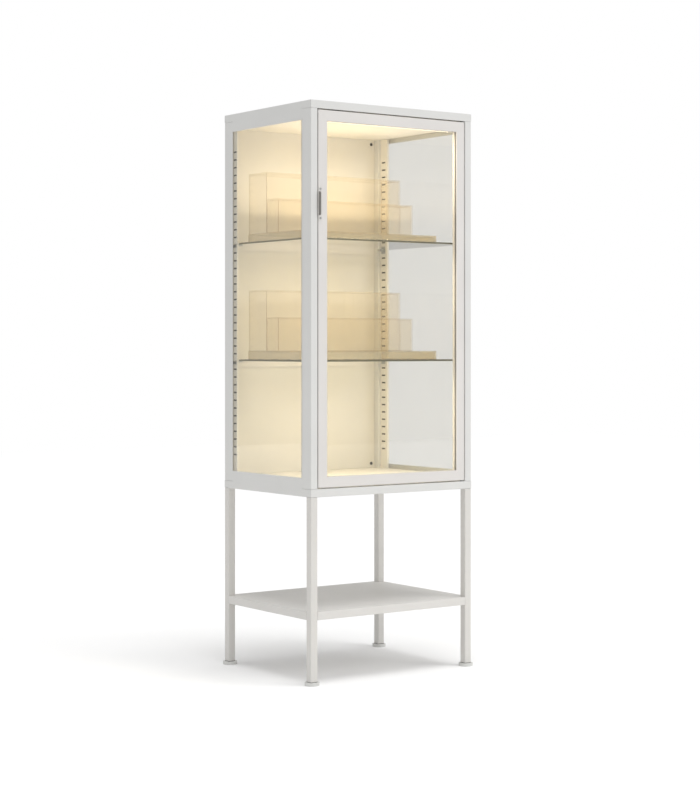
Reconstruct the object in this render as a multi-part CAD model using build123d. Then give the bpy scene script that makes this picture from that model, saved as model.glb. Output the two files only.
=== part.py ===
from build123d import *
import os

# Glass display cabinet on four legs, in millimetres.
# +X is to the right, the door is on the -Y side, +Z is up, and the floor is at Z = 0.

# Whole cabinet
width = 500.0
depth = 395.0
height = 1420.0

# Square steel tube of the welded frame
tube = 20.0
tube_wall = 1.5
tube_corner = 2.0
mid_frame_top = 476.0
sheet = 1.5
fit_gap = 0.4

# Glazing flange that runs round each side opening and the back opening
flange = 18.5
rail_flange = 26.0

# Levelling feet
foot_radius = 18.0
foot_height = 8.0
stem_radius = 3.0
stem_length = 28.0
stem_clearance = 0.08
insert_length = 22.0
insert_lip = 1.0
insert_lip_room = 0.5

# Door
door_side_gap = 2.0
door_end_gap = 3.0
door_member = 26.0
door_thickness = 16.0
door_wall = 1.5
door_edge_round = 3.0
glass_thickness = 4.0
glass_bite = 7.0
groove_depth = 8.5
gasket_wall = 0.6
glass_setback = 3.0
door_room_behind = 5.0

# Door pivots
pivot_inset = 5.0
pin_radius = 2.5
pin_clearance = 0.06
bush_wall = 0.9
bush_lip = 1.0
bush_lip_radius = 4.4
bush_length = 8.0
pin_length = 9.0
pin_block_length = 24.0
pin_collar_gap = 0.1
pin_collar_radius = 3.5
pin_block_gap = 0.05

# Door pull on the left edge of the door
pull_reach = 8.0
pull_round = 4.0
pull_height = 58.0
pull_middle = 1169.0
pull_plate = 2.0
pull_foot = 9.0
pull_foot_length = 84.0
pull_edge_gap = 1.0
pull_screw_spacing = 71.0
pull_screw_radius = 2.6
pull_screw_head = 1.2

# Magnetic catch over the door's top left corner
catch_length = 46.0
catch_depth = 14.0
catch_height = 12.0
catch_from_side = 40.0
catch_gap = 0.3
catch_round = 2.0
strike_round = 2.0
strike_thickness = 1.2
strike_height = 14.0
magnet_length = 34.0
magnet_depth = 5.0
magnet_height = 6.0

# Panels
pan_height = 14.0
pan_gap = 0.5
back_screw_radius = 2.0
back_screw_head_radius = 4.0
back_screw_head = 1.8
back_screw_inset = 12.0
back_screw_room = 0.1
back_screw_rows = 2

# Fixed side glass, its rubber tape and its beads
side_glass_gap = 1.5
tape = 0.5

# Slotted uprights
upright_inset = 12.6
upright_from_face = 20.0
upright_width = 30.0
slot_width = 16.0
slot_height = 4.0
slot_pitch = 20.0
slot_below_ceiling = 63.0
slot_above_floor = 50.0

# Glass shelves and the clips that hook into the slots
shelf_glass = 5.0
shelf_ground_edge = 0.6
upper_shelf_slot = 12
lower_shelf_slot = 27
shelf_side_gap = 1.0
shelf_back_gap = 1.0
shelf_front_gap = 3.0
clip_thickness = 2.0
clip_width = 14.0
clip_reach = 16.0
clip_lip = 9.0
clip_hook = 4.0
clip_room = 0.2
pad_thickness = 1.0
pad_inset = 2.0

# Light bar under the ceiling, just behind the door's top rail
light_side_gap = 20.4
light_depth = 18.0
light_height = 10.0
light_wall = 1.5
light_from_front = 35.0
light_end_cap = 2.0
diffuser_height = 4.0
diffuser_lip = 1.6

# Cable outlet in the top panel
outlet_radius = 6.0
outlet_from_rear = 60.0
grommet_wall = 1.6
grommet_flange = 2.5
grommet_lip = 1.2

# Shallow tray shelf between the legs
tray_top = 178.0
tray_lip = 20.0
tray_hem = 12.0
tray_corner_gap = 0.5

# Wall strap holes in the rear top rail
strap_hole_radius = 2.75
strap_hole_spacing = 300.0

# Clear acrylic display steps on both glass shelves
acrylic = 3.0
plinth_side_gap = 22.4
plinth_depth = 236.0
plinth_height = 21.0
step_low_depth = 54.0
step_low_height = 85.0
step_high_depth = 82.0
step_high_height = 155.0
step_end_inset = 2.0
plinth_from_back = 56.0

# Planes that the pieces share
x_out = width / 2
foot_overhang = foot_radius - tube / 2
front_reach = max(pull_reach, foot_overhang)
y_front = (front_reach - foot_overhang - depth) / 2
y_rear = y_front + depth
mid_frame_bottom = mid_frame_top - tube
top_frame_bottom = height - tube
floor_z = mid_frame_top + pan_height
ceiling_z = top_frame_bottom - pan_height
door_x = x_out - tube - door_side_gap
door_bottom = mid_frame_top + door_end_gap
door_top = top_frame_bottom - door_end_gap
door_back = y_front + door_thickness
pivot_x = door_x - pivot_inset
pivot_y = y_front + pivot_inset
glass_x_outer = x_out - tube_wall - tape
glass_x_inner = glass_x_outer - glass_thickness
upright_x = x_out - upright_inset
light_half = upright_x - light_side_gap - light_end_cap
plinth_width = 2 * (upright_x - plinth_side_gap)
back_face = y_rear - tube_wall - sheet
inner_front = door_back + door_room_behind
legs_bottom = foot_height + insert_lip
plan = (-x_out, x_out, y_front, y_rear)
front_view = (-door_x, door_x, door_bottom, door_top)
slot_count = int((ceiling_z - slot_below_ceiling - floor_z - slot_above_floor) / slot_pitch) + 1
SIDES = ("front", "right", "rear", "left")


def block(x0, x1, y0, y1, z0, z1):
    """A plain block between two corners, given in any order."""
    middle = ((x0 + x1) / 2, (y0 + y1) / 2, (z0 + z1) / 2)
    return Pos(*middle) * Box(abs(x1 - x0), abs(y1 - y0), abs(z1 - z0))


def rod(x, y, z0, z1, radius):
    """An upright round bar."""
    return Pos(x, y, (z0 + z1) / 2) * Cylinder(radius, z1 - z0)


def rod_y(x, z, y0, y1, radius):
    """A round bar along Y."""
    return Pos(x, (y0 + y1) / 2, z) * Rot(90, 0, 0) * Cylinder(radius, y1 - y0)


def mitre(view, rectangle, side, outer, inner, low, high):
    """One side of a picture frame with 45 degree ends, between two offsets from its rim."""
    u0, u1, v0, v1 = rectangle

    def corners(offset):
        return [
            (u0 + offset, v0 + offset),
            (u1 - offset, v0 + offset),
            (u1 - offset, v1 - offset),
            (u0 + offset, v1 - offset),
        ]

    rim = corners(outer)
    hole = corners(inner)
    here = SIDES.index(side)
    after = (here + 1) % len(SIDES)
    points = [rim[here], rim[after], hole[after], hole[here]]
    face = make_face(Polyline(*points, close=True))
    if view == "plan":
        return extrude(Plane.XY.offset(low) * face, high - low)
    return extrude(Plane.XZ.offset(-high) * face, high - low)


def one(shape):
    """The single solid of a shape, or the group when it has several."""
    solids = shape.solids()
    return solids[0] if len(solids) == 1 else Compound(solids)


def group(shapes):
    """Several like pieces kept together as separate solids."""
    return Compound([solid for shape in shapes for solid in shape.solids()])


# Frame

def frame_rail(side, z0):
    """A hollow mitred rail of the top or the middle frame."""
    along = Axis.X if side in ("front", "rear") else Axis.Y
    bar = mitre("plan", plan, side, 0, tube, z0, z0 + tube)
    bar = fillet(bar.edges().filter_by(along), tube_corner)
    core = mitre("plan", plan, side, tube_wall, tube - tube_wall, z0 + tube_wall, z0 + tube - tube_wall)
    return bar - core


def rail_glazing_flange(side, z_tube, z_edge):
    """The flat flange that carries a rail's outer face on past the tube."""
    reach = flange + tube
    root = tube_corner + tube_wall
    z_root = z_tube + root if z_edge < z_tube else z_tube - root
    if side == "rear":
        return block(-x_out + reach, x_out - reach, y_rear - tube_wall, y_rear, z_root, z_edge)
    x = -x_out if side == "left" else x_out
    x_in = x + tube_wall if side == "left" else x - tube_wall
    return block(x, x_in, y_front + reach, y_rear - reach, z_root, z_edge)


def top_rail(side):
    rail = frame_rail(side, top_frame_bottom)
    if side == "front":
        return rail - bush_hole(top_frame_bottom, tube_wall)
    rail += rail_glazing_flange(side, top_frame_bottom, top_frame_bottom - rail_flange)
    if side == "rear":
        rail -= back_screw_holes()
        for x in (-strap_hole_spacing / 2, strap_hole_spacing / 2):
            z = top_frame_bottom + tube / 2
            rail -= rod_y(x, z, y_rear - 2 * tube_wall, y_rear + tube_wall, strap_hole_radius)
    return rail


def mid_rail(side):
    rail = frame_rail(side, mid_frame_bottom)
    if side == "front":
        return rail - bush_hole(mid_frame_top - tube_wall, tube_wall)
    rail += rail_glazing_flange(side, mid_frame_top, mid_frame_top + rail_flange)
    if side == "rear":
        rail -= back_screw_holes()
    return rail


def square_tube(z0, z1):
    outer = extrude(RectangleRounded(tube, tube, tube_corner), z1 - z0)
    bore = tube - 2 * tube_wall
    inner = extrude(Rectangle(bore, bore), z1 - z0)
    return Pos(0, 0, z0) * (outer - inner)


def post_centre(front, left):
    x = -x_out + tube / 2 if left else x_out - tube / 2
    y = y_front + tube / 2 if front else y_rear - tube / 2
    return x, y


def upper_post(front, left):
    """Corner tube beside the glass, with its glazing flange, and one for the back at the rear."""
    x, y = post_centre(front, left)
    post = Pos(x, y, 0) * square_tube(mid_frame_top, top_frame_bottom)
    side = -1 if left else 1
    to_middle = 1 if front else -1
    y_edge = y_front if front else y_rear
    root = tube - tube_corner - tube_wall
    x_face = side * x_out
    post += block(
        x_face, x_face - side * tube_wall,
        y_edge + to_middle * root, y_edge + to_middle * (tube + flange),
        mid_frame_top, top_frame_bottom,
    )
    if not front:
        post += block(
            x_face - side * root, x_face - side * (tube + flange),
            y_rear - tube_wall, y_rear,
            mid_frame_top, top_frame_bottom,
        )
        post -= back_screw_holes()
    return post


def leg(front, left):
    x, y = post_centre(front, left)
    return Pos(x, y, 0) * square_tube(legs_bottom, mid_frame_bottom)


# Feet

def leg_insert(front, left):
    """Plastic plug pressed into a leg's end, with the bore that the foot's stem turns in."""
    x, y = post_centre(front, left)
    plug = tube - 2 * tube_wall
    top = legs_bottom + insert_length
    body = block(x - plug / 2, x + plug / 2, y - plug / 2, y + plug / 2, legs_bottom, top)
    lip_half = tube / 2 - insert_lip_room
    body += block(x - lip_half, x + lip_half, y - lip_half, y + lip_half, foot_height, legs_bottom)
    return body - rod(x, y, foot_height, top, stem_radius + stem_clearance)


def foot(front, left):
    """Round glide on a stem."""
    x, y = post_centre(front, left)
    rest = foot_height - pin_collar_gap
    return rod(x, y, 0, rest, foot_radius) + rod(x, y, rest, rest + stem_length, stem_radius)


# Panels

def pan_outline(rear_edge):
    """Outline of the floor and ceiling pans: wide between the posts, narrow beside the rear ones."""
    wide = upright_x - pan_gap
    narrow = x_out - tube - pan_gap
    front_edge = max(y_front + tube + pan_gap, inner_front)
    shoulder = y_rear - tube - pan_gap
    points = [
        (-wide, front_edge), (wide, front_edge), (wide, shoulder), (narrow, shoulder),
        (narrow, rear_edge), (-narrow, rear_edge), (-narrow, shoulder), (-wide, shoulder),
    ]
    return make_face(Polyline(*points, close=True))


def pan(z_face, z_rim):
    """Sheet pan with a turned edge, its flat face at z_face and its rim at z_rim."""
    outline = pan_outline(back_face - pan_gap)
    low = min(z_face, z_rim)
    inside = offset(outline, -sheet, kind=Kind.INTERSECTION)
    inside_low = low if z_rim < z_face else low + sheet
    solid = Pos(0, 0, low) * extrude(outline, pan_height)
    return solid - Pos(0, 0, inside_low) * extrude(inside, pan_height - sheet)


def floor_panel():
    return pan(floor_z, mid_frame_top)


def ceiling_panel():
    return pan(ceiling_z, top_frame_bottom)


def top_panel():
    """Lid sheet inside the top frame, with turned down edges and the cable outlet."""
    x = x_out - tube - fit_gap
    y0 = y_front + tube + fit_gap
    y1 = y_rear - tube - fit_gap
    lid = block(-x, x, y0, y1, height - pan_height, height)
    inside = block(
        -x + sheet, x - sheet, y0 + sheet, y1 - sheet, height - pan_height, height - sheet
    )
    return lid - inside - rod(0, y_rear - outlet_from_rear, height - pan_height, height, outlet_radius)


def back_panel():
    half = x_out - tube - pan_gap
    panel = block(
        -half, half, back_face, y_rear - tube_wall,
        mid_frame_top + pan_gap, top_frame_bottom - pan_gap,
    )
    return panel - back_screw_holes()


def back_screw_places():
    """Screws down both sides of the back panel."""
    x = x_out - tube - back_screw_inset
    low = mid_frame_top + back_screw_inset + pan_height
    high = ceiling_z - back_screw_inset
    step = (high - low) / (back_screw_rows - 1)
    return [(s * x, low + row * step) for s in (-1, 1) for row in range(back_screw_rows)]


def back_screw_holes():
    holes = [
        rod_y(x, z, back_face, y_rear, back_screw_radius + back_screw_room)
        for x, z in back_screw_places()
    ]
    return group(holes)


def back_screws():
    screws = []
    for x, z in back_screw_places():
        shank = rod_y(x, z, back_face, y_rear, back_screw_radius)
        head = rod_y(x, z, back_face - back_screw_head, back_face, back_screw_head_radius)
        screws.append(head + shank)
    return group(screws)


def lower_shelf():
    """Shallow sheet tray between the legs, with a lip all round and a turned in hem."""
    x = x_out - fit_gap
    y0 = y_front + fit_gap
    y1 = y_rear - fit_gap
    corner = tube + tray_corner_gap
    z0 = tray_top - tray_lip
    tray = block(-x, x, y0, y1, z0, tray_top)
    tray -= block(-x + sheet, x - sheet, y0 + sheet, y1 - sheet, z0 + sheet, tray_top - sheet)
    tray -= block(
        -x + tray_hem, x - tray_hem, y0 + tray_hem, y1 - tray_hem, z0 - sheet, z0 + 2 * sheet
    )
    for front in (True, False):
        for left in (True, False):
            cx, cy = post_centre(front, left)
            wall = corner / 2 + tray_corner_gap + sheet
            tray += block(cx - wall, cx + wall, cy - wall, cy + wall, z0, tray_top) & block(
                -x, x, y0, y1, z0, tray_top
            )
            reach = tube / 2
            tray -= block(cx - reach, cx + reach, cy - reach, cy + reach, z0, tray_top)
    return tray


# Fixed side glass

def side_glass(left):
    side = -1 if left else 1
    return block(
        side * glass_x_outer, side * glass_x_inner,
        y_front + tube + side_glass_gap, y_rear - tube - side_glass_gap,
        mid_frame_top + side_glass_gap, top_frame_bottom - side_glass_gap,
    )


def side_glass_tape(left):
    """Thin rubber tape between the flange and the glass."""
    side = -1 if left else 1
    y0 = y_front + tube + side_glass_gap
    y1 = y_rear - tube - side_glass_gap
    z0 = mid_frame_top + side_glass_gap
    z1 = top_frame_bottom - side_glass_gap
    x0 = side * (x_out - tube_wall)
    x1 = side * glass_x_outer
    band = flange - 2 * side_glass_gap
    ring = block(x0, x1, y0, y1, z0, z1)
    return ring - block(x0, x1, y0 + band, y1 - band, z0 + band, z1 - band)


def glazing_beads(left):
    """Steel strips that hold the pane at its foot and head, between the uprights."""
    side = -1 if left else 1
    x0 = side * glass_x_inner
    x1 = side * upright_x
    y0 = y_front + upright_from_face + fit_gap
    y1 = y_rear - upright_from_face - fit_gap
    low = block(x0, x1, y0, y1, mid_frame_top, floor_z)
    high = block(x0, x1, y0, y1, ceiling_z, top_frame_bottom)
    return group([low, high])


def upright(front, left):
    """Folded steel channel with a ladder of slots for the shelf clips."""
    side = -1 if left else 1
    edge = y_front if front else y_rear
    inward = 1 if front else -1
    ya = edge + inward * upright_from_face
    yb = ya + inward * upright_width
    x0 = side * glass_x_inner
    x1 = side * upright_x
    body = block(x0, x1, ya + inward * fit_gap, yb, floor_z, ceiling_z)
    body -= block(
        x0, x1 + side * sheet, ya + inward * (fit_gap + sheet), yb - inward * sheet, floor_z, ceiling_z
    )
    y_slot = slot_y(front)
    cutters = []
    for number in range(slot_count):
        z = slot_z(number)
        cutters.append(
            block(
                x1 + side * 2 * sheet, x1 - side * sheet,
                y_slot - slot_width / 2, y_slot + slot_width / 2,
                z - slot_height / 2, z + slot_height / 2,
            )
        )
    return body - cutters


def slot_z(number):
    """Middle height of a slot, counted down from the top one."""
    return ceiling_z - slot_below_ceiling - number * slot_pitch


def slot_y(front):
    """Middle of a slot column, across the front or rear uprights."""
    offset_in = upright_from_face + (upright_width - sheet) / 2
    return y_front + offset_in if front else y_rear - offset_in


# Door

def door_bar(side):
    """Mitred hollow door member with the groove that takes the glass."""
    y0 = y_front
    y1 = door_back
    bar = mitre("front", front_view, side, 0, door_member, y0, y1)
    if side == "right":
        along = bar.edges().filter_by(Axis.Z)
        outer = along.sort_by(Axis.X)[-2:].sort_by(Axis.Y)[0]
        bar = fillet(outer, door_edge_round)
    core_inner = door_member - groove_depth - door_wall
    bar -= mitre("front", front_view, side, door_wall, core_inner, y0 + door_wall, y1 - door_wall)
    g0 = y0 + glass_setback
    g1 = g0 + glass_thickness + 2 * gasket_wall
    bar -= mitre("front", front_view, side, door_member - groove_depth, door_member, g0, g1)
    if side == "left":
        return bar
    bar -= pivot_pocket(door_bottom, door_bottom + pin_block_length)
    return bar - pivot_pocket(door_top - pin_block_length, door_top)


def pivot_pocket(z0, z1, room=0.0):
    """Square space for a pivot block in the end of the hinge stile."""
    half = pivot_inset - door_wall - room
    return block(pivot_x - half, pivot_x + half, pivot_y - half, pivot_y + half, z0, z1)


def hinge_pin(top):
    """Steel block in the stile's end, with the pin that turns in the frame's bush."""
    if top:
        block_z0 = door_top - pin_block_length
        block_z1 = door_top
        collar_z1 = top_frame_bottom - bush_lip - pin_collar_gap
        pin_z1 = top_frame_bottom - bush_lip + pin_length
        body = pivot_pocket(block_z0, block_z1, pin_block_gap)
        body += rod(pivot_x, pivot_y, block_z1, collar_z1, pin_collar_radius)
        return body + rod(pivot_x, pivot_y, block_z1, pin_z1, pin_radius)
    block_z0 = door_bottom
    collar_z0 = mid_frame_top + bush_lip + pin_collar_gap
    body = pivot_pocket(block_z0, door_bottom + pin_block_length, pin_block_gap)
    body += rod(pivot_x, pivot_y, collar_z0, block_z0, pin_collar_radius)
    return body + rod(pivot_x, pivot_y, mid_frame_top + bush_lip - pin_length, block_z0, pin_radius)


def bush_hole(z0, length):
    return rod(pivot_x, pivot_y, z0, z0 + length, pin_radius + pin_clearance + bush_wall)


def hinge_bush(top):
    """Flanged bearing bush pressed into the frame rail."""
    outer = pin_radius + pin_clearance + bush_wall
    if top:
        lip = rod(pivot_x, pivot_y, top_frame_bottom - bush_lip, top_frame_bottom, bush_lip_radius)
        body = rod(pivot_x, pivot_y, top_frame_bottom - bush_lip, top_frame_bottom + bush_length, outer)
    else:
        lip = rod(pivot_x, pivot_y, mid_frame_top, mid_frame_top + bush_lip, bush_lip_radius)
        body = rod(pivot_x, pivot_y, mid_frame_top - bush_length, mid_frame_top + bush_lip, outer)
    bore = rod(pivot_x, pivot_y, mid_frame_bottom, height, pin_radius + pin_clearance)
    return lip + body - bore


def door_glass():
    margin = door_member - glass_bite
    y0 = y_front + glass_setback + gasket_wall
    return block(
        -door_x + margin, door_x - margin, y0, y0 + glass_thickness,
        door_bottom + margin, door_top - margin,
    )


def door_gasket():
    """Rubber channel round the edge of the door glass."""
    rim = door_member - groove_depth
    y0 = y_front + glass_setback
    y1 = y0 + glass_thickness + 2 * gasket_wall
    ring = block(-door_x + rim, door_x - rim, y0, y1, door_bottom + rim, door_top - rim)
    edge = door_member
    ring -= block(
        -door_x + edge, door_x - edge, y0, y1, door_bottom + edge, door_top - edge
    )
    return ring - door_glass()


def door_pull():
    """Slim folded edge pull: a foot plate on the stile's face and a standing finger blade."""
    x0 = -door_x + pull_edge_gap
    low = pull_middle - pull_foot_length / 2
    high = pull_middle + pull_foot_length / 2
    foot_plate = block(x0, x0 + pull_foot, y_front - pull_plate / 2, y_front, low, high)
    blade_low = pull_middle - pull_height / 2
    blade_high = pull_middle + pull_height / 2
    blade = block(x0, x0 + pull_plate, y_front - pull_reach, y_front, blade_low, blade_high)
    tips = blade.edges().filter_by(Axis.X).sort_by(Axis.Y)[:2]
    blade = fillet(tips, pull_round)
    return foot_plate + blade


def pull_screws():
    x = -door_x + pull_edge_gap + pull_foot / 2
    screws = []
    for z in (pull_middle - pull_screw_spacing / 2, pull_middle + pull_screw_spacing / 2):
        face = y_front - pull_plate / 2
        screws.append(rod_y(x, z, face - pull_screw_head, face, pull_screw_radius))
    return group(screws)


# Magnetic catch

def catch_x():
    return -door_x + catch_from_side


def catch_y():
    return door_back + strike_thickness + catch_gap


def catch_body():
    """Plastic catch housing under the ceiling, open at the front for its magnet."""
    x = catch_x()
    y = catch_y()
    body = block(x, x + catch_length, y, y + catch_depth, ceiling_z - catch_height, ceiling_z)
    back_edges = body.edges().filter_by(Axis.Z).sort_by(Axis.Y)[-2:]
    body = fillet(back_edges, catch_round)
    return body - catch_magnet()


def catch_magnet():
    x = catch_x() + (catch_length - magnet_length) / 2
    z = ceiling_z - catch_height / 2
    return block(
        x, x + magnet_length, catch_y(), catch_y() + magnet_depth,
        z - magnet_height / 2, z + magnet_height / 2,
    )


def strike_plate():
    x = catch_x()
    z = ceiling_z - catch_height / 2
    plate = block(
        x, x + catch_length, door_back, door_back + strike_thickness,
        z - strike_height / 2, z + strike_height / 2,
    )
    return fillet(plate.edges().filter_by(Axis.Y), strike_round)


# Glass shelves

def shelf_underside(slot_number):
    """Underside of a glass shelf on its clips, whose tongues rest on the slots' lower edges."""
    return slot_z(slot_number) - slot_height / 2 + clip_thickness + pad_thickness


def shelf_span():
    """X half width and the front and rear edges of a glass shelf."""
    return upright_x - shelf_side_gap, inner_front + shelf_front_gap, y_rear - tube - shelf_back_gap


def glass_shelf(slot_number):
    x, y0, y1 = shelf_span()
    z = shelf_underside(slot_number)
    pane = block(-x, x, y0, y1, z, z + shelf_glass)
    return chamfer(pane.edges(), shelf_ground_edge)


def shelf_clips(slot_number):
    """Four folded clips: a hook through the slot and a lip under the glass."""
    top = shelf_underside(slot_number) - pad_thickness
    clips = []
    for front in (True, False):
        for side in (-1, 1):
            y = slot_y(front)
            y0 = y - clip_width / 2
            y1 = y + clip_width / 2
            face = side * upright_x
            back = face + side * (sheet + clip_room)
            tongue = block(
                back + side * clip_thickness, face - side * clip_reach, y0, y1, top - clip_thickness, top
            )
            leg_face = face - side * clip_room
            leg_plate = block(leg_face, leg_face - side * clip_thickness, y0, y1, top - clip_lip, top)
            hook_low = top - clip_thickness - clip_hook
            hook = block(back, back + side * clip_thickness, y0, y1, hook_low, top)
            clips.append(tongue + leg_plate + hook)
    return group(clips)


def shelf_pads(slot_number):
    """Clear rubber pads between the clips and the glass."""
    z = shelf_underside(slot_number)
    pads = []
    for front in (True, False):
        for side in (-1, 1):
            y = slot_y(front)
            x0 = side * (upright_x - shelf_side_gap - pad_inset)
            x1 = side * (upright_x - clip_reach)
            half = clip_width / 2 - pad_inset / 2
            pads.append(block(x0, x1, y - half, y + half, z - pad_thickness, z))
    return group(pads)


# Light bar

def light_y():
    return y_front + light_from_front


def light_housing():
    """Aluminium channel under the ceiling, open below for the diffuser."""
    y = light_y()
    z0 = ceiling_z - light_height
    shell = block(-light_half, light_half, y, y + light_depth, z0, ceiling_z)
    cavity = block(
        -light_half, light_half, y + light_wall, y + light_depth - light_wall, z0, ceiling_z - light_wall
    )
    return shell - cavity


def light_diffuser():
    """Opal strip that closes the channel."""
    y = light_y()
    z0 = ceiling_z - light_height
    strip = block(
        -light_half, light_half, y + light_wall, y + light_depth - light_wall, z0, z0 + diffuser_height
    )
    groove = block(
        -light_half, light_half, y + 2 * light_wall, y + light_depth - 2 * light_wall,
        z0 + diffuser_lip, z0 + diffuser_height,
    )
    return strip - groove


def light_end_caps():
    y = light_y()
    caps = []
    for side in (-1, 1):
        caps.append(
            block(
                side * light_half, side * (light_half + light_end_cap), y, y + light_depth,
                ceiling_z - light_height, ceiling_z,
            )
        )
    return group(caps)


def cable_grommet():
    """Rubber ring in the top panel's cable outlet."""
    y = y_rear - outlet_from_rear
    low = height - sheet - grommet_lip
    lip_radius = outlet_radius + grommet_flange
    ring = rod(0, y, low, height, outlet_radius)
    ring += rod(0, y, low, height - sheet, lip_radius)
    return ring - rod(0, y, low, height, outlet_radius - grommet_wall)


# Clear display steps

def display_step(x_middle, y0, y1, z0, rise, span):
    """Glued acrylic step with a top, a front and two sides, open at the back and below."""
    half = span / 2
    outer = block(x_middle - half, x_middle + half, y0, y1, z0, z0 + rise)
    inner = block(
        x_middle - half + acrylic, x_middle + half - acrylic,
        y0 + acrylic, y1, z0, z0 + rise - acrylic,
    )
    return outer - inner


def plinth_y():
    y1 = back_face - plinth_from_back
    return y1 - plinth_depth, y1


def step_plinth(slot_number):
    y0, y1 = plinth_y()
    z = shelf_underside(slot_number) + shelf_glass
    return display_step(0, y0, y1, z, plinth_height, plinth_width)


def step_low(slot_number):
    y1 = plinth_y()[1] - step_high_depth
    z = shelf_underside(slot_number) + shelf_glass + plinth_height
    span = plinth_width - 2 * step_end_inset
    return display_step(0, y1 - step_low_depth, y1, z, step_low_height, span)


def step_high(slot_number):
    y1 = plinth_y()[1]
    z = shelf_underside(slot_number) + shelf_glass + plinth_height
    span = plinth_width - 2 * step_end_inset
    return display_step(0, y1 - step_high_depth, y1, z, step_high_height, span)


def build():
    parts = {}
    for side in SIDES:
        parts[f"top_rail_{side}"] = top_rail(side)
        parts[f"mid_rail_{side}"] = mid_rail(side)
    inserts = []
    for front, front_name in ((True, "front"), (False, "rear")):
        for left, left_name in ((True, "left"), (False, "right")):
            corner = f"{front_name}_{left_name}"
            parts[f"upper_post_{corner}"] = upper_post(front, left)
            parts[f"leg_{corner}"] = leg(front, left)
            parts[f"foot_{corner}"] = foot(front, left)
            parts[f"slotted_upright_{corner}"] = upright(front, left)
            inserts.append(leg_insert(front, left))
    parts["leg_inserts"] = group(inserts)
    parts["side_glass_left"] = side_glass(True)
    parts["side_glass_right"] = side_glass(False)
    parts["side_glass_tapes"] = group(side_glass_tape(left) for left in (True, False))
    parts["glazing_beads"] = group(glazing_beads(left) for left in (True, False))
    parts["floor_panel"] = floor_panel()
    parts["ceiling_panel"] = ceiling_panel()
    parts["top_panel"] = top_panel()
    parts["back_panel"] = back_panel()
    parts["back_screws"] = back_screws()
    parts["lower_shelf"] = lower_shelf()
    parts["door_stile_left"] = door_bar("left")
    parts["door_stile_right"] = door_bar("right")
    parts["door_rail_bottom"] = door_bar("front")
    parts["door_rail_top"] = door_bar("rear")
    parts["door_glass"] = door_glass()
    parts["door_gasket"] = door_gasket()
    parts["door_pull"] = door_pull()
    parts["pull_screws"] = pull_screws()
    parts["strike_plate"] = strike_plate()
    parts["hinge_pin_top"] = hinge_pin(True)
    parts["hinge_pin_bottom"] = hinge_pin(False)
    parts["hinge_bushes"] = group(hinge_bush(top) for top in (True, False))
    parts["catch_body"] = catch_body()
    parts["catch_magnet"] = catch_magnet()
    shelf_slots = (upper_shelf_slot, lower_shelf_slot)
    parts["glass_shelf_upper"] = glass_shelf(upper_shelf_slot)
    parts["glass_shelf_lower"] = glass_shelf(lower_shelf_slot)
    parts["shelf_clips"] = group(shelf_clips(slot) for slot in shelf_slots)
    parts["shelf_pads"] = group(shelf_pads(slot) for slot in shelf_slots)
    parts["step_plinths"] = group(step_plinth(slot) for slot in shelf_slots)
    parts["steps_low"] = group(step_low(slot) for slot in shelf_slots)
    parts["steps_high"] = group(step_high(slot) for slot in shelf_slots)
    parts["light_housing"] = light_housing()
    parts["light_diffuser"] = light_diffuser()
    parts["light_end_caps"] = light_end_caps()
    parts["cable_grommet"] = cable_grommet()
    return parts


os.makedirs("parts", exist_ok=True)
pieces = build()
for node, shape in pieces.items():
    export_step(one(shape), f"parts/{node}.step")
print(len(pieces), "nodes")
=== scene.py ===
import math
import bpy
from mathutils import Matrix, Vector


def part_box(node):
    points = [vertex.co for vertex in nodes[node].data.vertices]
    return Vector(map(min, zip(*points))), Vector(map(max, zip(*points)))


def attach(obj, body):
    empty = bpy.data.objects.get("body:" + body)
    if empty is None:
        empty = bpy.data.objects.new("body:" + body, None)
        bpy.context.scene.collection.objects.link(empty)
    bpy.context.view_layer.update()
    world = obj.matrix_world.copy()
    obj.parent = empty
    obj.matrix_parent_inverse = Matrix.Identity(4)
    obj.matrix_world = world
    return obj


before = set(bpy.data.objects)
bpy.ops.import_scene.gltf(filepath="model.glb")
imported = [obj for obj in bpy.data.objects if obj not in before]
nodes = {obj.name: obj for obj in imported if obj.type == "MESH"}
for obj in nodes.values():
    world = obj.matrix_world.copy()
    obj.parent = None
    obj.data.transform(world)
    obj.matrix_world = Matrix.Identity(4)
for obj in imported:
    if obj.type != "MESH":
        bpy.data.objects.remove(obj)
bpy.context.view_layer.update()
scene = bpy.context.scene

# Camera: a long lens at chest height, held level and looking past the cabinet's front left corner.
# The lens is shifted down so that the uprights stay parallel in the picture.
camera_data = bpy.data.cameras.new("camera")
camera_data.sensor_width = 36.0
camera_data.lens = 83.95
camera_data.shift_y = -0.0645
camera_data.clip_end = 60.0
camera = bpy.data.objects.new("camera", camera_data)
camera.location = (-2.7767, -3.8864, 0.8247)
camera.rotation_euler = (math.radians(90.0), 0.0, math.radians(-35.621))
scene.collection.objects.link(camera)
scene.camera = camera
scene.view_settings.view_transform = "Standard"
# A look through the door, a step's walls, a shelf and the far pane crosses many clear faces.
scene.cycles.transparent_max_bounces = 32

# Studio: an even white surround, a pale floor sheet, a broad top light and a softbox on the front.
# The floor is matt paper, so it shows only the soft shade under the cabinet.
MM = 0.001
LEVEL_AS_LIGHT = 0.64
LEVEL_IN_VIEW = 1.0
FLOOR_HALF = 9.0


def node(tree, kind, inputs=None, **settings):
    """Adds a shader node. An input given as a socket is linked, any other value is set."""
    new = tree.nodes.new("ShaderNode" + kind)
    for key, value in settings.items():
        setattr(new, key, value)
    for name, value in (inputs or {}).items():
        if isinstance(value, bpy.types.NodeSocket):
            tree.links.new(value, new.inputs[name])
        else:
            new.inputs[name].default_value = value
    return new


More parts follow.
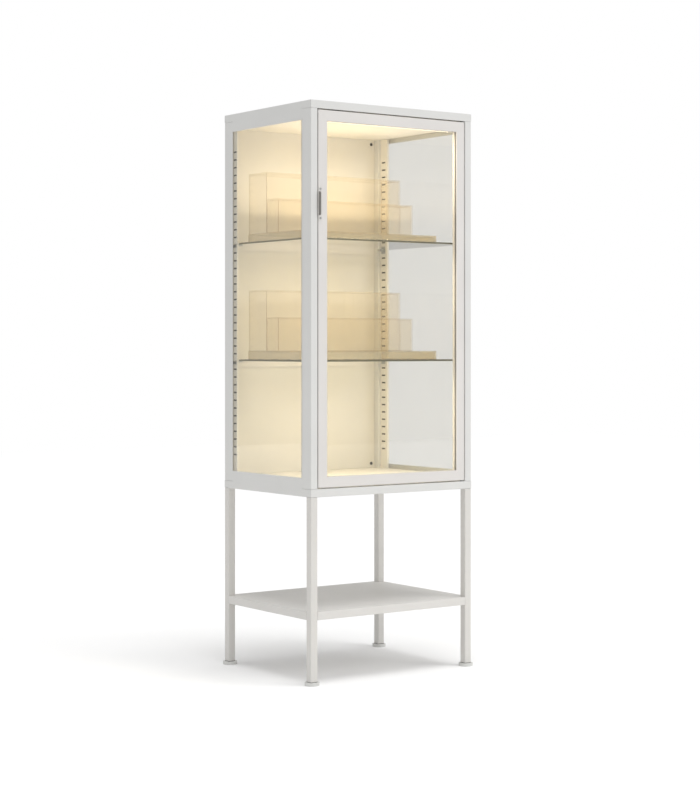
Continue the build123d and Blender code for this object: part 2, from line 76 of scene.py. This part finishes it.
def linear(hex_colour):
    """A screen colour such as #E4E0DB as linear red, green, blue and alpha."""
    screen = [int(hex_colour[i:i + 2], 16) / 255 for i in (1, 3, 5)]
    light = [c / 12.92 if c <= 0.04045 else ((c + 0.055) / 1.055) ** 2.4 for c in screen]
    return (*light, 1.0)


def material(name):
    """A new material, its empty node tree, and the place of a point on the object, in metres."""
    made = bpy.data.materials.new(name)
    made.use_nodes = True
    tree = made.node_tree
    tree.nodes.clear()
    return made, tree, node(tree, "TexCoord").outputs["Object"]


def output(tree, surface):
    """Sends a finished surface to the material's output."""
    node(tree, "OutputMaterial", {"Surface": surface})


def noise(tree, place, size, detail):
    """Cloudy noise from 0 to 1, with clouds of about this size in metres."""
    clouds = node(tree, "TexNoise", {"Vector": place, "Scale": 1 / size, "Detail": detail})
    return clouds.outputs["Fac"]


def between(tree, value, low, high, ends=(0.0, 1.0)):
    """The colour that runs from low to high as the value crosses the two ends."""
    tone = node(tree, "ValToRGB", {"Fac": value})
    for element, position, colour in zip(tone.color_ramp.elements, ends, (low, high)):
        element.position = position
        element.color = colour
    return tone.outputs["Color"]


world = bpy.data.worlds.new("white_surround")
world.use_nodes = True
surround = world.node_tree
seen = node(surround, "LightPath").outputs["Is Camera Ray"]
# The surround is burnt out to white behind the object and a little dimmer as a source of light.
level = node(surround, "MapRange", {
    "Value": seen, "To Min": LEVEL_AS_LIGHT, "To Max": LEVEL_IN_VIEW,
})
surround.links.new(level.outputs["Result"], surround.nodes["Background"].inputs["Strength"])
surround.nodes["Background"].inputs["Color"].default_value = (1.0, 1.0, 1.0, 1.0)
scene.world = world
top_data = bpy.data.lights.new("top_light", "SUN")
top_data.energy = 1.25
top_data.angle = math.radians(36.0)
top_light = bpy.data.objects.new("top_light", top_data)
top_light.rotation_euler = (math.radians(12.0), 0.0, 0.0)
scene.collection.objects.link(top_light)

paper, tree, place = material("matt_white_paper")
# Matt paper has no highlight, only a faint cloudiness that keeps the sheet from looking cut out.
cloud = noise(tree, place, 2 / 3, 3.0)
surface = node(tree, "BsdfPrincipled", {
    "Base Color": between(tree, cloud, linear("#FBFBFB"), linear("#FDFDFD")),
    "Roughness": 0.9,
    "Specular IOR Level": 0.0,
})
output(tree, surface.outputs["BSDF"])
floor_mesh = bpy.data.meshes.new("floor_sheet")
floor_mesh.from_pydata(
    [(-FLOOR_HALF, -FLOOR_HALF, 0), (FLOOR_HALF, -FLOOR_HALF, 0),
     (FLOOR_HALF, FLOOR_HALF, 0), (-FLOOR_HALF, FLOOR_HALF, 0)],
    [],
    [(0, 1, 2, 3)],
)
floor_sheet = bpy.data.objects.new("floor_sheet", floor_mesh)
floor_mesh.materials.append(paper)
scene.collection.objects.link(floor_sheet)


def area_light(name, where, turn, size, watts, colour):
    """A rectangular lamp that the camera doesn't see. Turn is its rotation in degrees."""
    data = bpy.data.lights.new(name, "AREA")
    data.shape = "RECTANGLE"
    data.size, data.size_y = size
    data.energy = watts
    data.color = colour
    lamp = bpy.data.objects.new(name, data)
    lamp.location = where
    lamp.rotation_euler = [math.radians(angle) for angle in turn]
    lamp.visible_camera = False
    lamp.visible_glossy = False
    scene.collection.objects.link(lamp)


area_light(
    "front_softbox", where=(3.2, -4.2, 3.2), turn=(62.0, 0.0, 38.0), size=(2.4, 2.4),
    watts=70.0, colour=(1.0, 0.99, 0.98),
)

# Welded frame: top and middle frames and four posts of 20 mm square steel tube.
# The mitres are ground flush and all of it is powder coated white in one go.
SIDES = ("front", "right", "rear", "left")
CORNERS = ("front_left", "front_right", "rear_left", "rear_right")


def finish_with(finish, *names):
    """Gives CAD nodes this material."""
    for name in names:
        mesh = nodes[name].data
        mesh.materials.clear()
        mesh.materials.append(finish)


def relief(tree, height, strength, depth, edge=None):
    """Fine relief over the surface. Sharp edges look rounded where a radius is given."""
    inputs = {"Height": height, "Strength": strength, "Distance": depth}
    if edge:
        inputs["Normal"] = node(tree, "Bevel", {"Radius": edge}, samples=4).outputs["Normal"]
    return node(tree, "Bump", inputs).outputs["Normal"]


def powder_coat(name, low, high, rough):
    """Baked powder paint: an even skin with fine orange peel, softly rounded over sheet edges."""
    made, tree, place = material(name)
    cloud = noise(tree, place, 90 * MM, 4.0)
    peel = noise(tree, place, 1.4 * MM, 2.0)
    sheen = node(tree, "MapRange", {
        "Value": cloud, "To Min": rough - 0.05, "To Max": rough + 0.05,
    })
    surface = node(tree, "BsdfPrincipled", {
        "Base Color": between(tree, cloud, linear(low), linear(high), ends=(0.2, 0.8)),
        "Roughness": sheen.outputs["Result"],
        "Specular IOR Level": 0.35,
        "IOR": 1.5,
        "Normal": relief(tree, peel, 0.12, 0.05 * MM, edge=0.8 * MM),
    })
    output(tree, surface.outputs["BSDF"])
    return made


frame_paint = powder_coat("white_powder_coat_on_steel_tube", "#D4D4D2", "#D8D8D6", 0.42)
for side in SIDES:
    finish_with(frame_paint, f"top_rail_{side}", f"mid_rail_{side}")
for corner in CORNERS:
    finish_with(frame_paint, f"upper_post_{corner}")

# Legs: lengths of the same tube, welded under the middle frame.
# They are open at the foot, where a plastic plug is pressed in.
leg_paint = powder_coat("white_powder_coat_on_legs", "#D2D0CC", "#D7D5D1", 0.42)
for corner in CORNERS:
    finish_with(leg_paint, f"leg_{corner}")

# Leg plugs and levelling feet: a black acetal plug and a white moulded glide on a stem.
# The glide turns in the plug and rests flat on the floor.


def moulded_plastic(name, low, high, rough):
    """Moulded plastic: dull, with the faint fine grain of the mould and cloudy wear."""
    made, tree, place = material(name)
    grain = noise(tree, place, 0.7 * MM, 3.0)
    cloud = noise(tree, place, 12 * MM, 3.0)
    surface = node(tree, "BsdfPrincipled", {
        "Base Color": between(tree, cloud, linear(low), linear(high)),
        "Roughness": rough,
        "Normal": relief(tree, grain, 0.25, 0.05 * MM, edge=0.5 * MM),
    })
    output(tree, surface.outputs["BSDF"])
    return made


acetal = moulded_plastic("black_acetal", "#1B1B1C", "#262627", 0.5)
finish_with(acetal, "leg_inserts")
glide_plastic = moulded_plastic("white_glide_plastic", "#CFCFCC", "#D7D7D4", 0.5)
for corner in CORNERS:
    finish_with(glide_plastic, f"foot_{corner}")

# Sheet panels: folded pans for the floor and the ceiling, a lid and a flat back.
# They are 1.5 mm steel, coated like the frame, and look cream where the warm light falls.
panel_paint = powder_coat("white_powder_coat_on_sheet", "#DAD7CF", "#DDDAD3", 0.48)
finish_with(panel_paint, "floor_panel", "ceiling_panel", "back_panel")
finish_with(frame_paint, "top_panel")

# Back panel screws: four pan heads of blackened steel.
# They hold the back to the frame's flange.


def zinc_plate(name, low, high, rough):
    """Zinc on steel: a bluish metal with cloudy crystals and fine drawing lines along Z."""
    made, tree, place = material(name)
    bloom = noise(tree, place, 6 * MM, 4.0)
    drawn = node(tree, "Mapping", {"Vector": place, "Scale": (1.0, 1.0, 0.06)})
    lines = noise(tree, drawn.outputs["Vector"], 0.4 * MM, 2.0)
    surface = node(tree, "BsdfPrincipled", {
        "Base Color": between(tree, bloom, linear(low), linear(high)),
        "Metallic": 1.0,
        "Roughness": rough,
        "Normal": relief(tree, lines, 0.15, 0.03 * MM, edge=0.4 * MM),
    })
    output(tree, surface.outputs["BSDF"])
    return made


finish_with(zinc_plate("blackened_zinc_steel", "#3E3A36", "#4C4742", 0.45), "back_screws")

# Tray shelf: a shallow pan with a 20 mm lip, set between the legs and welded to them.
# It is notched round the legs and coated like the frame.
tray_paint = powder_coat("white_powder_coat_on_tray", "#D4D2CE", "#D9D7D4", 0.45)
finish_with(tray_paint, "lower_shelf")

# Fixed side glass: a 4 mm pane each side, laid on white foam tape inside the frame's flange.
# Steel beads hold its foot and head, and the uprights hold its ends.


def sheet_glass(name, tint, gloss):
    """Float glass: clear straight on and more mirror-like at a slant. Returns its surface too.

    Gloss scales the mirror's share. Only a sheet's outward faces shine, so none shines twice.
    """
    made, tree, place = material(name)
    facing = node(tree, "NewGeometry").outputs["Backfacing"]
    outward = node(tree, "Math", {0: 1.0, 1: facing}, operation="SUBTRACT")
    mirror = node(tree, "Fresnel", {"IOR": 1.5})
    one_sided = node(tree, "Math", {
        0: mirror.outputs["Fac"], 1: outward.outputs["Value"],
    }, operation="MULTIPLY")
    share = node(tree, "Math", {
        0: one_sided.outputs["Value"], 1: gloss,
    }, operation="MULTIPLY", use_clamp=True)
    deep = linear(tint)
    pale = (*(min(1.0, c * 1.02) for c in deep[:3]), 1.0)
    haze = noise(tree, place, 160 * MM, 3.0)
    through = node(tree, "BsdfTransparent", {"Color": between(tree, haze, deep, pale)})
    shine = node(tree, "BsdfGlossy", {"Color": (1.0, 1.0, 1.0, 1.0), "Roughness": 0.02})
    surface = node(tree, "MixShader", {
        0: share.outputs["Value"], 1: through.outputs["BSDF"], 2: shine.outputs["BSDF"],
    })
    return made, tree, place, surface.outputs["Shader"]


side_pane, tree, place, surface = sheet_glass("clear_side_glass", "#F5F5F4", 1.8)
output(tree, surface)
finish_with(side_pane, "side_glass_left", "side_glass_right")
finish_with(frame_paint, "glazing_beads")


def rubber(name, low, high, rough):
    """Soft rubber or foam: nearly matt, a little dusty, with a fine extruded grain."""
    made, tree, place = material(name)
    dust = noise(tree, place, 4 * MM, 5.0)
    surface = node(tree, "BsdfPrincipled", {
        "Base Color": between(tree, dust, linear(low), linear(high)),
        "Roughness": rough,
        "Normal": relief(tree, dust, 0.2, 0.05 * MM),
    })
    output(tree, surface.outputs["BSDF"])
    return made


finish_with(rubber("white_foam_tape", "#D9D7D2", "#E2E0DC", 0.8), "side_glass_tapes")

# Slotted uprights: four folded steel channels with a ladder of slots, in front of the side glass.
# They are coated on both sides. Every slot shows as a dark dash from inside and
# outside. The slots are bare: thin dark blocks in the slots without a clip are painted shade for
# the shade inside them.
# The uprights' coat is lighter and warmer than the frame's: painted light that brightens the
# shaded channels.
lightened_upright_paint = powder_coat("white_powder_coat_with_painted_light_on_uprights", "#DEDBD3", "#E2DFD8", 0.46)
# A dark finish for the blocks of painted shade in the bare slots.
slot_shade_finish = moulded_plastic("dark_painted_slot_shade", "#2A2521", "#38322C", 0.6)
SLOT_COUNT = 40
SLOT_PITCH = 20 * MM
SLOT_BELOW_TOP = 63 * MM
SLOT_FROM_END = 13.85 * MM
CLIP_SLOTS = (12, 27)
SLOT_SHADE_HALF = (0.5 * MM, 7.9 * MM, 1.9 * MM)
SLOT_SHADE_SET_BACK = 0.75 * MM
GLOW_SET_BACK = 5.5 * MM


def add_block(points, faces, middle, half):
    """Adds an upright box to lists of points and faces."""
    first = len(points)
    for sx in (-1, 1):
        for sy in (-1, 1):
            for sz in (-1, 1):
                signs = (sx, sy, sz)
                points.append([m + sign * h for m, sign, h in zip(middle, signs, half)])
    for quad in (
        (0, 1, 3, 2), (4, 6, 7, 5), (0, 4, 5, 1), (2, 3, 7, 6), (0, 2, 6, 4), (1, 5, 7, 3),
    ):
        faces.append([first + point for point in quad])


for corner in CORNERS:
    upright = f"slotted_upright_{corner}"
    finish_with(lightened_upright_paint, upright)
    low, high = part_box(upright)
    left = "left" in corner
    face_x = high[0] if left else low[0]
    outward = -1 if left else 1
    slot_y = low[1] + SLOT_FROM_END if "front" in corner else high[1] - SLOT_FROM_END
    top_slot_z = high[2] - SLOT_BELOW_TOP
    # Dark blocks of painted shade in the slots that hold no clip.
    points, faces = [], []
    for number in range(SLOT_COUNT):
        if number not in CLIP_SLOTS:
            middle = (face_x + outward * SLOT_SHADE_SET_BACK, slot_y, top_slot_z - number * SLOT_PITCH)
            add_block(points, faces, middle, SLOT_SHADE_HALF)
    slot_shade_mesh = bpy.data.meshes.new(f"painted_slot_shade_{corner}")
    slot_shade_mesh.from_pydata(points, [], faces)
    slot_shade_mesh.materials.append(slot_shade_finish)
    slot_shade_blocks = bpy.data.objects.new(f"painted_slot_shade_{corner}", slot_shade_mesh)
    scene.collection.objects.link(slot_shade_blocks)
    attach(slot_shade_blocks, "cabinet")
    # A faint lamp behind the channel, so that its outer face shows as warm as in the
    # photograph.
    area_light(
        f"channel_glow_{corner}",
        where=(face_x + outward * GLOW_SET_BACK, slot_y, (low[2] + high[2]) / 2),
        turn=(0.0, 90.0 * outward, 0.0), size=(high[2] - low[2], 20 * MM),
        watts=0.024, colour=(1.0, 0.93, 0.8),
    )

# Door: four mitred hollow members with a groove that takes the glass in a rubber channel.
# It is coated a touch warmer than the frame and turns on zinc plated pins in acetal bushes.
door_paint = powder_coat("white_powder_coat_on_door", "#D6D3D0", "#DBD8D5", 0.4)
finish_with(door_paint, "door_stile_left", "door_stile_right", "door_rail_bottom", "door_rail_top")
door_pane, tree, place, surface = sheet_glass("clear_door_glass", "#F5F5F4", 1.8)
output(tree, surface)
finish_with(door_pane, "door_glass")
finish_with(rubber("grey_glazing_rubber", "#A5A29C", "#B0ADA7", 0.7), "door_gasket")
zinc = zinc_plate("bright_zinc_plated_steel", "#A9ABAB", "#BFC1C0", 0.32)
finish_with(zinc, "hinge_pin_top", "hinge_pin_bottom")
finish_with(acetal, "hinge_bushes")

# Door pull: a folded steel strip, its foot plate screwed to the stile and its blade standing out.
# The plate is coated like the door, and the blade is painted dark grey: painted shade for the
# shade on its side face and in the gap by the stile.
BLADE_SHADE_BEYOND_STILE = 1.2 * MM
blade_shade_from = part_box("door_stile_left")[0][1] - BLADE_SHADE_BEYOND_STILE
pull_finish, tree, place = material("door_pull_with_painted_blade_shade")
depth = node(tree, "SeparateXYZ", {"Vector": place}).outputs["Y"]
# What stands out past the stile is the blade, painted dark grey as painted shade.
blade_shade_mask = node(tree, "Math", {0: depth, 1: blade_shade_from}, operation="LESS_THAN")
cloud = noise(tree, place, 5 * MM, 3.0)
wear = node(tree, "MapRange", {"Value": cloud, "To Min": 0.32, "To Max": 0.42}).outputs["Result"]
coat = node(tree, "BsdfPrincipled", {"Base Color": linear("#D9D6D2"), "Roughness": wear})
painted_blade_shade = node(tree, "BsdfPrincipled", {"Base Color": linear("#7F7C78"), "Roughness": wear})
surface = node(tree, "MixShader", {
    0: blade_shade_mask.outputs["Value"], 1: coat.outputs["BSDF"], 2: painted_blade_shade.outputs["BSDF"],
})
output(tree, surface.outputs["Shader"])
finish_with(pull_finish, "door_pull")
finish_with(zinc, "pull_screws")

# Magnetic catch: a grey moulded body under the ceiling with a ferrite bar in its mouth.
# The door carries the zinc plated strike plate that meets it.
finish_with(moulded_plastic("grey_catch_plastic", "#9A9893", "#A6A49F", 0.5), "catch_body")
finish_with(moulded_plastic("sintered_ferrite", "#25211E", "#35302C", 0.65), "catch_magnet")
finish_with(zinc, "strike_plate")

# Glass shelves: 5 mm panes with ground edges, laid on pads over four zinc plated clips each.
# The ground edge is matt, so it gathers the green of the glass and reads as a dark line.
shelf_pane, tree, place, surface = sheet_glass("shelf_glass_with_ground_edges", "#F5F6F0", 1.4)
way = node(tree, "SeparateXYZ", {"Vector": node(tree, "NewGeometry").outputs["Normal"]})
upness = node(tree, "Math", {0: way.outputs["Z"]}, operation="ABSOLUTE")
is_edge = node(tree, "Math", {0: upness.outputs["Value"], 1: 0.5}, operation="LESS_THAN")
grind = noise(tree, place, 1.5 * MM, 3.0)
ground = node(tree, "BsdfPrincipled", {
    "Base Color": between(tree, grind, linear("#5C5A48"), linear("#76725C")),
    "Roughness": 0.35,
    "Specular IOR Level": 0.4,
})
whole = node(tree, "MixShader", {
    0: is_edge.outputs["Value"], 1: surface, 2: ground.outputs["BSDF"],
})
output(tree, whole.outputs["Shader"])
finish_with(shelf_pane, "glass_shelf_upper", "glass_shelf_lower")
finish_with(rubber("clear_pad_rubber", "#B9B5AB", "#C6C2B8", 0.45), "shelf_pads")
finish_with(zinc, "shelf_clips")

# Display steps: glued 3 mm acrylic boxes, open behind, a low plinth with two steps on it.
# The steps are clear, so only their polished edges and glue lines show, as a darker rim that is
# the glue line and painted shade for the light the edges bend away. The plinth is frosted.


def cast_acrylic(name, tint, veil, veil_share):
    """Cast acrylic: a warm clear sheet with a thin milky veil and a darker rim along its polished
    edges, which is the glue line and painted shade.
    """
    made, tree, place, clear = sheet_glass(name, tint, 1.0)
    cloud = noise(tree, place, 30 * MM, 3.0)
    share = node(tree, "MapRange", {
        "Value": cloud, "To Min": veil_share * 0.8, "To Max": veil_share * 1.2,
    })
    milk = node(tree, "BsdfPrincipled", {
        "Base Color": linear(veil), "Roughness": 0.4, "Specular IOR Level": 0.2,
    })
    veiled = node(tree, "MixShader", {
        0: share.outputs["Result"], 1: clear, 2: milk.outputs["BSDF"],
    })
    # Near an edge the rounded direction leaves the true one, which marks the rim. The rim is
    # painted darker: painted shade for the light the edges bend away, and the glue line at the
    # joints.
    true_way = node(tree, "NewGeometry").outputs["Normal"]
    round_way = node(tree, "Bevel", {"Radius": 1.6 * MM}, samples=6).outputs["Normal"]
    agree = node(tree, "VectorMath", {0: true_way, 1: round_way}, operation="DOT_PRODUCT")
    glue_and_edge_shade_mask = node(tree, "MapRange", {
        "Value": agree.outputs["Value"], "From Min": 0.99, "From Max": 0.86, "To Max": 0.8,
    })
    glue_and_edge_shade = node(tree, "BsdfPrincipled", {
        "Base Color": linear("#8C7652"), "Roughness": 0.2, "Specular IOR Level": 0.4,
    })
    whole = node(tree, "MixShader", {
        0: glue_and_edge_shade_mask.outputs["Result"], 1: veiled.outputs["Shader"], 2: glue_and_edge_shade.outputs["BSDF"],
    })
    output(tree, whole.outputs["Shader"])
    return made


clear_acrylic = cast_acrylic("clear_cast_acrylic", "#FCFAF6", "#D9CDB4", 0.03)
finish_with(clear_acrylic, "steps_low", "steps_high")
frosted_acrylic = cast_acrylic("frosted_cast_acrylic", "#F8F4EA", "#E6DCC4", 0.24)
finish_with(frosted_acrylic, "step_plinths")

# Light bar: an extruded aluminium channel under the ceiling, closed by an opal strip and end caps.
# The strip glows an even warm white, and the shelves below pass the light down.
LED = (1.0, 0.87, 0.65)
DIODE_PITCH = 17 * MM
# At a scale of 1 a wave texture's bands lie this many to the metre.
BANDS_TO_THE_METRE = 3.2
LAMP_BELOW = 2 * MM
brushed, tree, place = material("anodised_aluminium")
# Anodised extrusion: satin metal with fine lines along its length.
drawn = node(tree, "Mapping", {"Vector": place, "Scale": (0.03, 1.0, 1.0)})
lines = noise(tree, drawn.outputs["Vector"], 0.5 * MM, 3.0)
surface = node(tree, "BsdfPrincipled", {
    "Base Color": between(tree, lines, linear("#BDBDBB"), linear("#D2D2D0")),
    "Metallic": 1.0,
    "Roughness": 0.38,
})
output(tree, surface.outputs["BSDF"])
finish_with(brushed, "light_housing", "light_end_caps")
opal, tree, place = material("lit_opal_diffuser")
# Opal acrylic over a row of diodes: bright, with a faint swelling over each diode.
row = node(tree, "TexWave", {
    "Vector": place, "Scale": 1 / DIODE_PITCH / BANDS_TO_THE_METRE, "Detail": 0.0,
})
swell = node(tree, "MapRange", {"Value": row.outputs["Fac"], "To Min": 5.0, "To Max": 6.0})
surface = node(tree, "BsdfPrincipled", {
    "Base Color": linear("#FFF1D6"),
    "Roughness": 0.4,
    "Emission Color": (*LED, 1.0),
    "Emission Strength": swell.outputs["Result"],
})
output(tree, surface.outputs["BSDF"])
finish_with(opal, "light_diffuser")
bar_low, bar_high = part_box("light_diffuser")
bar_y = (bar_low[1] + bar_high[1]) / 2
area_light(
    "bar_glow", where=(0.0, bar_y + 15 * MM, bar_low[2] - LAMP_BELOW), turn=(-4.0, 0.0, 0.0),
    size=(0.30, 0.012), watts=1.3, colour=LED,
)
# Lamps under the glass shelves, for the light that they pass on down.
for shelf, watts in (("glass_shelf_upper", 1.75), ("glass_shelf_lower", 1.45)):
    area_light(
        shelf + "_glow", where=(0.0, -0.09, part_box(shelf)[0][2] - LAMP_BELOW),
        turn=(10.0, 0.0, 0.0), size=(0.34, 0.06), watts=watts, colour=LED,
    )
# A lamp for the light that the shelves and steps throw back up at the ceiling.
area_light(
    "ceiling_wash", where=(0.0, 0.0, bar_low[2] - 0.22), turn=(180.0, 0.0, 0.0),
    size=(0.4, 0.28), watts=1.3, colour=LED,
)

# Cable outlet: a rubber ring in the lid, where the light's lead comes out.
# It is dark grey rubber with a rounded lip.
finish_with(rubber("grey_grommet_rubber", "#3A3A39", "#4A4A48", 0.6), "cable_grommet")
